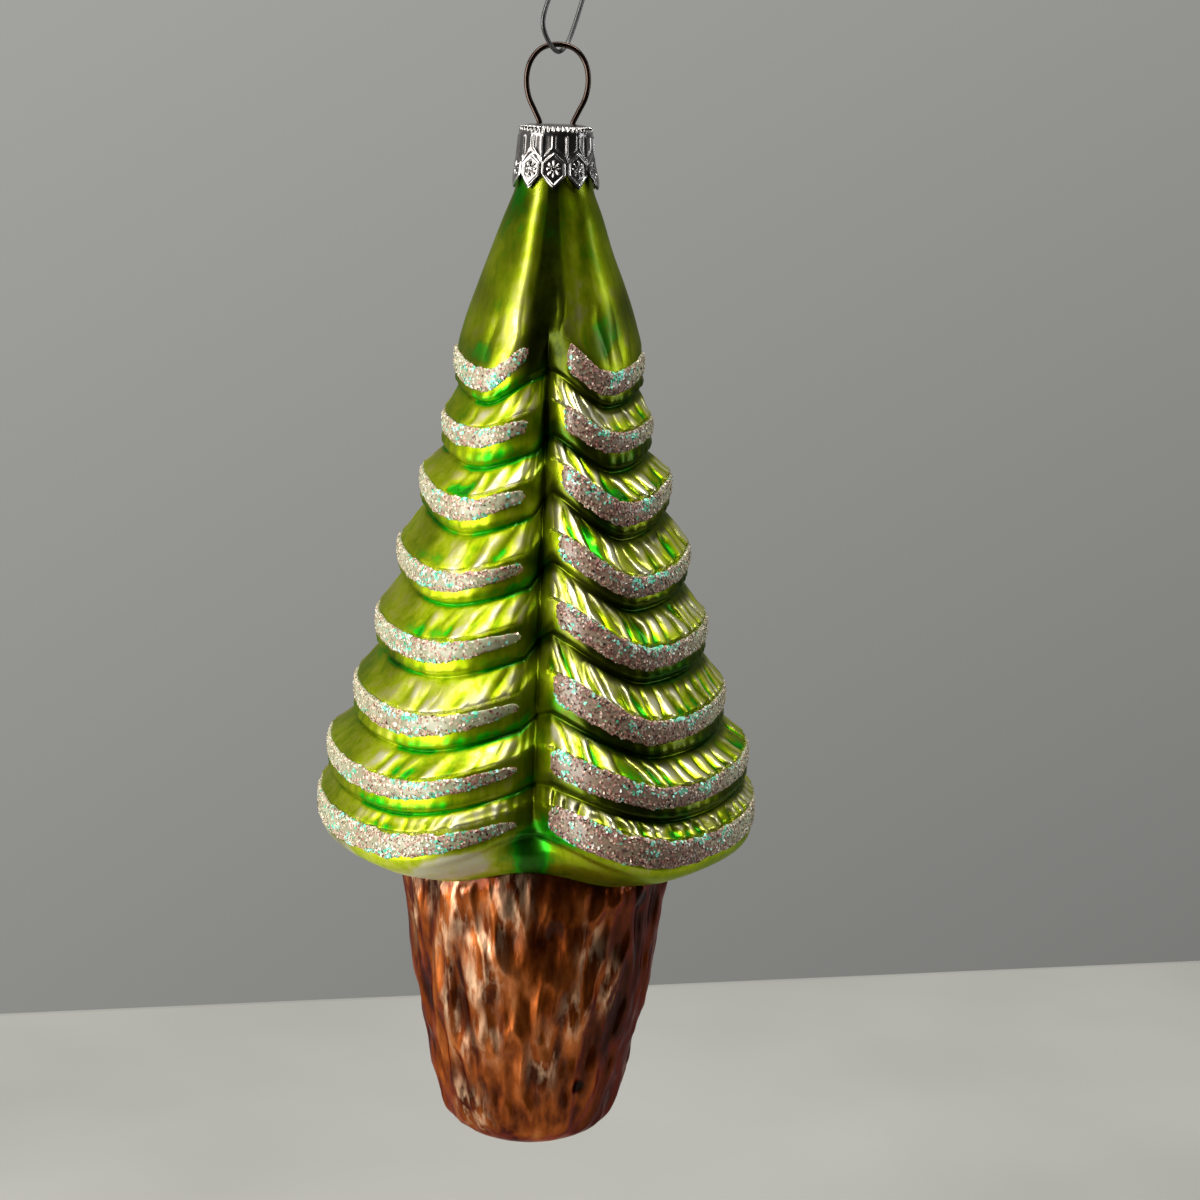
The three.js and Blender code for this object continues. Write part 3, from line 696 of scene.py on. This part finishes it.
def glitter_flakes(name, row, side, shape, faces):
    """Copies of the flake strewn over a bead, each with its own turn, tilt, size and colour."""
    tier = TIERS[row]
    start = line_start(row) + 0.3
    length = math.radians(180 - 2 * start) * tier.radius
    count = int(length * (tier.glitter * 0.9 + 0.8) * FLAKES_PER_AREA[side > 0])
    away = seeded.uniform(start, 180 - start, count)
    across = seeded.uniform(-1, 1, count)
    across = np.sign(across) * np.abs(across) ** 0.9 * math.radians(82)
    if side < 0:
        bare = BARE_ENDS[row] * ease(34, 15, from_groove(np.radians(away)))
        kept = seeded.uniform(0, 1, count) > bare + 0.04
        away, across = away[kept], across[kept]
        count = len(away)
    near = from_groove(np.radians(away))
    along = np.radians(away) * tier.radius
    inner, outer, sine = ease(26, 12, near), ease(50, 68, near), np.sin(across)
    if side < 0:
        zones, place = FLAKES_LEFT, bell(near - 40, 17)
    else:
        zones = FLAKES_RIGHT
        place = np.maximum(bell(near - 9, 4), bell(near - 44, 13) * ease(-0.3, 0.5, sine))
    shares = [np.array(zone) / sum(zone) for zone in (*zones, FLAKES_SPARKLE)]
    odds = inner[:, None] * shares[0] + (1 - inner - outer)[:, None].clip(0) * shares[1] + outer[:, None] * shares[2]
    clusters = bumps(along / 3.4, sine * 0.9, row * 5.1 + side)
    spots = bumps(along / 1.1, sine * 2.0, row * 2.1 - side)
    glint = np.sqrt(place) * ease(0.0, 0.18, clusters) * ease(-0.4, 0.0, spots) * 0.95
    odds = odds / odds.sum(axis=1, keepdims=True) * (1 - glint)[:, None] + glint[:, None] * shares[3]
    picked = (np.cumsum(odds, axis=1) < seeded.uniform(0, 1, count)[:, None] * odds.sum(axis=1)[:, None]).sum(axis=1)

    centre = bead_points(row, side, away, across)
    along_way = bead_points(row, side, away + 0.15, across) - centre
    over = bead_points(row, side, away, across + 0.06) - centre
    normal = unit(np.cross(over, along_way) * -side)
    normal = unit(normal + seeded.normal(0, FLAKE_TILT, normal.shape))
    first = unit(np.cross(normal, seeded.normal(0, 1, normal.shape)))
    second = np.cross(normal, first)
    larger = np.where(picked >= FIRST_SPARKLE, 1.3, 1.0)
    size = seeded.uniform(*FLAKE_RADIUS, count) * larger * mix(1, 0.8, outer) * MM
    stretch = seeded.uniform(0.75, 1.1, count)
    corners = (first[:, None] * shape[None, :, :1] + second[:, None] * (shape[None, :, 1:2] * stretch[:, None, None])
               + normal[:, None] * shape[None, :, 2:])
    lifted = centre + normal * (seeded.uniform(0.02, 0.07, count) * MM)[:, None]
    points = lifted[:, None] + corners * size[:, None, None]
    mesh = bpy.data.meshes.new(name)
    sides = [tuple(int(line + i) for i in face) for line in np.arange(count) * len(shape) for face in faces]
    mesh.from_pydata(points.reshape(-1, 3), [], sides)
    flakes = new_object(name, mesh)
    tint = (picked.clip(0, len(FLAKE_COLOURS) - 1) + 0.5) / len(FLAKE_COLOURS)
    set_mask(flakes, "flake", np.repeat(tint, len(shape)))
    return flakes


def glitter_glue():
    made, tree, shader = new_material("glitter_glue")
    colour = ramp(tree, noise_value(tree, 700, 700, 3), GLUE)
    feed(tree, shader, {
        "Base Color": blend(tree, attribute(tree, "mauve"), colour, GLUE_STAIN_AND_PAINTED_SHADE),
        "Roughness": 0.3,
        "Coat Weight": 0.3,
        "Normal": bump(tree, noise_value(tree, 2600, 2600, 3), 0.4, 0.12),
    })
    return made


def glitter_flake():
    made, tree, shader = new_material("glitter_flake")
    stops = [(i / len(FLAKE_COLOURS), colour) for i, colour in enumerate(FLAKE_COLOURS.values())]
    colour = ramp(tree, attribute(tree, "flake"), stops)
    colour.node.color_ramp.interpolation = "CONSTANT"
    feed(tree, shader, {
        "Base Color": colour,
        "Metallic": 0.15,
        "Roughness": span(tree, noise_value(tree, 1500, 1500, 2), 0.2, 0.45),
        "Coat Weight": 0.35,
        "Coat Roughness": 0.08,
    })
    return made


glue = glitter_glue()
glitter = glitter_flake()
flake_shape, flake_faces = tack()
for side_name, side in (("left", -1), ("right", 1)):
    for row in range(len(TIERS)):
        line_name = f"{side_name}_{row + 1}"
        bead = glitter_bead(f"glitter_{line_name}", row, side)
        bead.data.materials.append(glue)
        flakes = glitter_flakes(f"flakes_{line_name}", row, side, flake_shape, flake_faces)
        flakes.data.materials.append(glitter)
        select_only(bead)
        bpy.ops.object.shade_smooth()
        bpy.ops.object.mode_set(mode="EDIT")
        bpy.ops.mesh.select_all(action="SELECT")
        bpy.ops.mesh.normals_make_consistent(inside=False)
        bpy.ops.object.mode_set(mode="OBJECT")
        flakes.select_set(True)
        bpy.ops.object.join()
        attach(bead, "glass")
        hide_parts(f"glitter_line_{line_name}")

# The crown cap: stamped from thin bright tinplate, with a beaded rim, flutes and ten pointed petals. Each petal has
# a starburst in a six-sided frame. It is pushed over the glass neck, and the ring's legs go down through two holes.
CAP_RADIUS = 5.45
CAP_FLARE = 0.85
CAP_COLUMNS = 160
PETALS = 10
PETAL_WIDTH = math.tau * CAP_RADIUS / PETALS
CAP_SHEET = 0.3
LEG_HOLE = (2.4, 0.72)  # place and radius
CAP_PROFILE = [(0, 1.3), (1.2, 1.3), (2.4, 1.29), (3.6, 1.25), (4.2, 1.14), (4.65, 0.98), (4.98, 0.76), (5.2, 0.5),
               (5.36, 0.2), (5.44, -0.1), *((CAP_RADIUS, level) for level in np.linspace(-0.3, -8, 36))]
PETAL_EDGE = ([0, 0.3, 1.7, 1.86, 1.98], [-8.0, -7.75, -6.1, -5.75, -5.1])  # level by distance from the middle
BEADS = 44
SPLAYED_PETAL = 2  # the petal at the right that stands off the glass
# Stamped lines of half a petal: distance from its middle and level
FRAME = [(0, -3.1), (1.5, -4.3), (1.5, -6.05), (0, -7.6)]
PARTING = [(0.3, -0.3), (0.3, -2.2), (1.62, -3.55), (1.85, -4.3)]
STAR_LEVEL = -5.2
SHARP_EDGE = math.radians(50)


def from_chain(across, level, chain):
    """Distance in millimetres from a chain of straight lines."""
    nearest = np.full(across.shape, 99.0)
    for (x0, y0), (x1, y1) in zip(chain, chain[1:]):
        dx, dy = x1 - x0, y1 - y0
        share = np.clip(((across - x0) * dx + (level - y0) * dy) / (dx * dx + dy * dy), 0, 1)
        nearest = np.minimum(nearest, np.hypot(across - x0 - share * dx, level - y0 - share * dy))
    return nearest


def shape_cap(cap):
    """Cuts the petals' edge by drawing the skirt up to it, and stamps the relief."""
    points = points_of(cap)
    angle, radius, level = places_of(points)
    turn = angle / math.tau * PETALS
    petal = np.round(turn)
    east = (turn - petal) * PETAL_WIDTH * 1.1
    across = np.abs(east)
    level = np.where(level < -1, -1 + (level + 1) / 7 * (-1 - np.interp(across, *PETAL_EDGE)), level)
    flare = CAP_FLARE * np.clip(-level / 8, 0, 1) ** 1.5
    splay = 0.5 * ((petal % PETALS) == SPLAYED_PETAL) * ease(-4, -8, level)

    frame_ridge = 0.17 * bell(from_chain(across, level, FRAME), 0.17)
    parting = 0.12 * bell(from_chain(across, level, PARTING), 0.12)
    junction = 0.15 * bell(across - PETAL_WIDTH * 0.55, 0.17) * ease(-4.6, -3.6, level)
    up = level - STAR_LEVEL
    reach = np.hypot(east, up * 0.86)
    rays = np.clip(np.cos(8 * np.arctan2(east, up)), 0, 1) ** 0.7
    burst = 0.17 * rays * ease(0.1, 0.35, reach) * ease(1.12, 0.9, reach)
    hollow = -0.08 * ease(0.5, 1.3, across) * ease(1.9, 1.5, across) * ease(-4, -3, level)
    on_skirt = ease(-0.2, -0.7, level)
    relief = (np.max([frame_ridge, parting, junction, burst], axis=0) + hollow) * on_skirt
    beads = 0.26 * np.clip(np.cos(angle * BEADS), -0.35, 1) * bell(np.hypot(radius - 5.1, level - 0.62), 0.4)
    dents = 0.05 * lumps(points, 0.0018, 0.0022)
    reach_out = radius + flare + splay + relief + beads + dents * on_skirt
    level = level + beads * 0.7 + dents * (radius < 5)
    set_mask(cap, "raised", np.clip((relief + np.abs(beads)) / 0.15, 0, 1))
    share = np.where(radius > 0.01, reach_out / np.maximum(radius, 0.01), 1)
    set_points(cap, np.stack([points[:, 0] * share, points[:, 1] * share, rim + level * MM], axis=-1))


def handling_marks():
    """The shader group of the three metals."""
    made = bpy.data.node_groups.new("handling_marks", "ShaderNodeTree")
    for in_out, kind, names in (("INPUT", "Color", ("Bright", "Tarnished")),
                                ("INPUT", "Float", ("Scale", "Smoothest", "Roughest", "Raised")),
                                ("OUTPUT", "Color", ("Colour",)),
                                ("OUTPUT", "Float", ("Roughness", "Marks"))):
        for name in names:
            made.interface.new_socket(name, in_out=in_out, socket_type="NodeSocket" + kind)
    given = made.nodes.new("NodeGroupInput").outputs
    place = node(made, "TexCoord").outputs["Object"]

    def marks(share, detail):
        scale = times(made, given["Scale"], share)
        return node(made, "TexNoise", {"Vector": place, "Scale": scale, "Detail": detail}).outputs["Fac"]

    broad, fine = marks(0.25, 3.0), marks(1.0, 2.0)
    kept = plus(made, times(made, given["Raised"], 0.6), broad)
    kept = minus(made, times(made, kept, 1.6), 0.45, clamp=True)
    feed(made, made.nodes.new("NodeGroupOutput"), {
        "Colour": blend(made, kept, given["Tarnished"], given["Bright"]),
        "Roughness": span(made, fine, given["Smoothest"], given["Roughest"]),
        "Marks": fine,
    })
    return made


metal_marks = handling_marks()


def bright_metal(name, bright, tarnished, roughness, scale, marks, mask=None):
    """Bare or plated metal with a thin tarnish that gathers in hollows, and fine handling marks."""
    made, tree, shader = new_material(name)
    worn = node(tree, "Group", node_tree=metal_marks)
    feed(tree, worn, {
        "Bright": (*bright, 1),
        "Tarnished": (*tarnished, 1),
        "Scale": scale,
        "Smoothest": roughness[0],
        "Roughest": roughness[1],
        "Raised": attribute(tree, mask) if mask else 0.6,
    })
    feed(tree, shader, {
        "Base Color": worn.outputs["Colour"],
        "Roughness": worn.outputs["Roughness"],
        "Metallic": 1.0,
        "Normal": bump(tree, worn.outputs["Marks"], marks, 0.06),
    })
    return made


cap = turned("stamped_cap", CAP_PROFILE, CAP_COLUMNS)
applied(cap, "SUBSURF", levels=1, render_levels=1)
shape_cap(cap)
applied(cap, "SOLIDIFY", thickness=CAP_SHEET * MM, offset=-1)
for side in (-1, 1):
    select_only()
    bpy.ops.mesh.primitive_cylinder_add(vertices=32, radius=LEG_HOLE[1] * MM, depth=3 * MM,
                                        location=(side * LEG_HOLE[0] * MM, 0, rim + CAP_TOP * MM))
    punch = bpy.context.object
    applied(cap, "BOOLEAN", object=punch, operation="DIFFERENCE", solver="EXACT")
    bpy.data.objects.remove(punch)
bpy.ops.object.shade_smooth_by_angle(angle=SHARP_EDGE)
tinplate = bright_metal("bright_tinplate", (0.46, 0.45, 0.44), (0.10, 0.09, 0.09), (0.14, 0.28), 900, 0.3, "raised")
cap.data.materials.append(tinplate)
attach(cap, "crown")
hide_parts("cap")

# The spring ring: one bronze coloured wire bent into a ring, whose two legs go down through the cap and spring apart
# in the glass neck, which holds the ornament up.
RING_WIRE = 0.8
RING_STEPS = 150
RING_SIDE = [(3, -13.1), (2.7, -6.1), (2.4, -0.1), (2.4, 1.3), (3.1, 2.882), (4.15, 5.142), (4.5, 7.741),
             (3.93, 10.227), (2.4, 12.0)]
RING_TOP = 12.6
rim_mm = rim / MM


def smooth_path(points, steps):
    """Points along a smooth curve through the given ones, evened out along its length."""
    points = np.array(points, dtype=float)
    chain = np.vstack([2 * points[0] - points[1], points, 2 * points[-1] - points[-2]])
    spans = []
    for before, start, end, after in zip(chain, chain[1:], chain[2:], chain[3:]):
        lead, span_root, tail = (math.sqrt(np.linalg.norm(step)) for step in (start - before, end - start, after - end))
        leaving = (start - before) / lead - (end - before) / (lead + span_root) + (end - start) / span_root
        arriving = (end - start) / span_root - (after - start) / (span_root + tail) + (after - end) / tail
        leaving, arriving = leaving * span_root, arriving * span_root
        t = np.linspace(0, 1, 24, endpoint=False)[:, None]
        spans.append(start + leaving * t + (3 * (end - start) - 2 * leaving - arriving) * t ** 2
                     + (2 * (start - end) + leaving + arriving) * t ** 3)
    way = np.vstack([*spans, points[-1:]])
    gone = np.concatenate([[0], np.cumsum(np.linalg.norm(np.diff(way, axis=0), axis=1))])
    places = np.linspace(0, gone[-1], steps)
    return np.stack([np.interp(places, gone, way[:, i]) for i in range(3)], axis=-1)


def wire(name, points, diameter, steps):
    """A round wire in millimetres along a path, with its cut ends rounded over."""
    path = smooth_path(points, steps) * MM
    curve = bpy.data.curves.new(name, "CURVE")
    curve.dimensions = "3D"
    curve.bevel_depth = diameter / 2 * MM
    curve.bevel_resolution = 4
    curve.use_fill_caps = True
    spline = curve.splines.new("POLY")
    spline.points.add(len(path) - 1)
    for point, place in zip(spline.points, path):
        point.co = (*place, 1)
    select_only(new_object(name, curve))
    bpy.ops.object.convert(target="MESH")
    piece = bpy.context.object
    piece.name = piece.data.name = name
    applied(piece, "BEVEL", width=0.12 * MM, segments=2, limit_method="ANGLE", angle_limit=math.radians(60))
    bpy.ops.object.shade_smooth_by_angle(angle=SHARP_EDGE)
    return piece


half_ring = [(x, 0, rim_mm + level) for x, level in RING_SIDE]
ring_path = [*half_ring, (0, 0, rim_mm + RING_TOP), *((-x, y, z) for x, y, z in reversed(half_ring))]
ring = wire("spring_ring", ring_path, RING_WIRE, RING_STEPS)
bronze = bright_metal("bronze_wire", (0.085, 0.058, 0.046), (0.03, 0.018, 0.014), (0.14, 0.24), 300, 0.02)
ring.data.materials.append(bronze)
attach(ring, "ring")
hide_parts("hanger_wire")

# The hook: plain grey steel wire, bent into an eye that the ring hangs in, a long shank and an open crook for the
# branch. Only the eye is in the photograph, and the rest is the usual shape of such hooks.
HOOK_WIRE = 0.68
HOOK_STEPS = 190
HOOK_TURN = math.radians(56)
EYE_BOTTOM = 11.55
CROOK_CENTRE = 23.75
CROOK_RADIUS = 6.6
CROOK_TURNS = [math.radians(turn) for turn in (0, 45, 90, 135, 180)]
# Sideways and up from the eye's bottom: the eye, the shank, the crook and its turned-in tip
HOOK_PATH = [(6.7, 9.6), (5.7, 7.6), (3.8, 3.8), (2, 1.086), (0, 0), (-2.4, 1.267), (-4, 3.8), (-2.6, 7.6),
             (0.66, mix(7.6, CROOK_CENTRE, 0.3)), (4.62, mix(7.6, CROOK_CENTRE, 0.6)),
             *((CROOK_RADIUS * math.cos(turn), CROOK_CENTRE + CROOK_RADIUS * math.sin(turn)) for turn in CROOK_TURNS),
             (-6.864, 20.75), (-7.788, 17.75)]
hook_path = [(x * math.cos(HOOK_TURN), x * math.sin(HOOK_TURN), rim_mm + EYE_BOTTOM + up) for x, up in HOOK_PATH]
hook = wire("wire_ornament_hook", hook_path, HOOK_WIRE, HOOK_STEPS)
steel = bright_metal("grey_steel_wire", (0.13, 0.13, 0.13), (0.05, 0.05, 0.05), (0.3, 0.42), 300, 0.0)
hook.data.materials.append(steel)
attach(hook, "hook")
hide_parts("wire_hook")

# The plain pale table, the grey wall behind it, soft light from a window on the left, and the camera where the
# photograph was taken. The room on the camera's side is dim.
FLOOR_LEVEL = -0.2555
FLOOR_SIZE = (0.95, 0.33, 0.02)
FLOOR_TURN = math.radians(12.6)
TABLE_TINT = [(0.3, (0.39, 0.39, 0.37)), (0.7, (0.46, 0.46, 0.44))]
WALL_LIGHT = 0.315
WALL_RANGE = (0.12, 0.42)
select_only()
bpy.ops.mesh.primitive_cube_add(size=1, location=(0, 0.063, FLOOR_LEVEL - FLOOR_SIZE[2] / 2))
floor = bpy.context.object
floor.name = "table_top"
floor.scale = FLOOR_SIZE
floor.rotation_euler = (0, 0, FLOOR_TURN)
bpy.ops.object.transform_apply()
applied(floor, "BEVEL", width=0.008, segments=4)
made, nodes, shader = new_material("pale_table")
tint = ramp(nodes, noise_value(nodes, 9, 9, 3), TABLE_TINT)
feed(nodes, shader, {"Base Color": tint, "Roughness": 0.7})
floor.data.materials.append(made)

scene = bpy.context.scene
world = scene.world = bpy.data.worlds.new("studio")
world.use_nodes = True
room = world.node_tree
direction = node(room, "TexCoord").outputs["Generated"]
sideways, away_from_camera, upwards = node(room, "SeparateXYZ", {0: direction}).outputs
wall = plus(room, minus(room, WALL_LIGHT, times(room, sideways, 0.16)), times(room, upwards, 0.26))
wall = math_node("MAXIMUM", room, math_node("MINIMUM", room, wall, WALL_RANGE[1]), WALL_RANGE[0])
wall = times(room, wall, span(room, upwards, 1.0, 0.8, 0.12, 0.7, interpolation_type="SMOOTHSTEP"))
dim = span(room, sideways, 0.26, 0.03, -0.95, -0.1)
behind = span(room, away_from_camera, 0.0, 1.0, -0.25, 0.45, interpolation_type="SMOOTHSTEP")
light = node(room, "Mix", {"Factor": behind, "A": dim, "B": wall}, data_type="FLOAT").outputs["Result"]
warmth = node(room, "VectorMath", {0: (1.0, 1.0, 0.95), "Scale": light}, operation="SCALE").outputs[0]
feed(room, room.nodes["Background"], {"Color": warmth})


def soft_light(name, azimuth, elevation, distance, size, power, colour):
    """A rectangular soft light aimed at the tree. Azimuth 0 is in front, and it grows to the right."""
    target = Vector((0, 0, -0.12))
    turn, rise = math.radians(azimuth), math.radians(elevation)
    back = Vector((math.sin(turn) * math.cos(rise), -math.cos(turn) * math.cos(rise), math.sin(rise)))
    data = bpy.data.lights.new(name, "AREA")
    data.shape = "RECTANGLE"
    data.size, data.size_y = size
    data.energy = power
    data.color = colour
    lamp = new_object(name, data)
    lamp.location = target + back * distance
    lamp.rotation_euler = back.to_track_quat("Z", "Y").to_euler()


soft_light("window_left", -62, 0, 0.75, (0.45, 0.65), 6.5, (1.0, 0.97, 0.92))
soft_light("window_top_left", -66, 68, 0.8, (0.55, 0.5), 2.4, (1.0, 0.98, 0.94))
soft_light("window_gap_left", -50, 40, 0.8, (0.1, 0.4), 1.6, (1.0, 0.97, 0.9))
soft_light("far_right", 92, 12, 0.75, (0.12, 0.45), 0.9, (0.95, 0.98, 1.0))
soft_light("high_right", 66, 70, 0.8, (0.16, 0.5), 4.2, (1.0, 1.0, 0.94))

CAMERA_PLACE = (0.0087, -0.360, rim)
CAMERA_PITCH = 10.9
CAMERA_ROLL = 1.9
PHOTO_FOCUS = 2418 / 1200  # focal length over the frame's width
camera_data = bpy.data.cameras.new("camera")
camera_data.sensor_width = 36
camera_data.lens = camera_data.sensor_width * PHOTO_FOCUS
camera_data.clip_start = 0.01
camera = new_object("camera", camera_data)
turn = Matrix.Rotation(math.radians(90 - CAMERA_PITCH), 4, "X") @ Matrix.Rotation(math.radians(CAMERA_ROLL), 4, "Z")
camera.matrix_world = Matrix.Translation(CAMERA_PLACE) @ turn
scene.camera = camera
scene.view_settings.view_transform = "Standard"
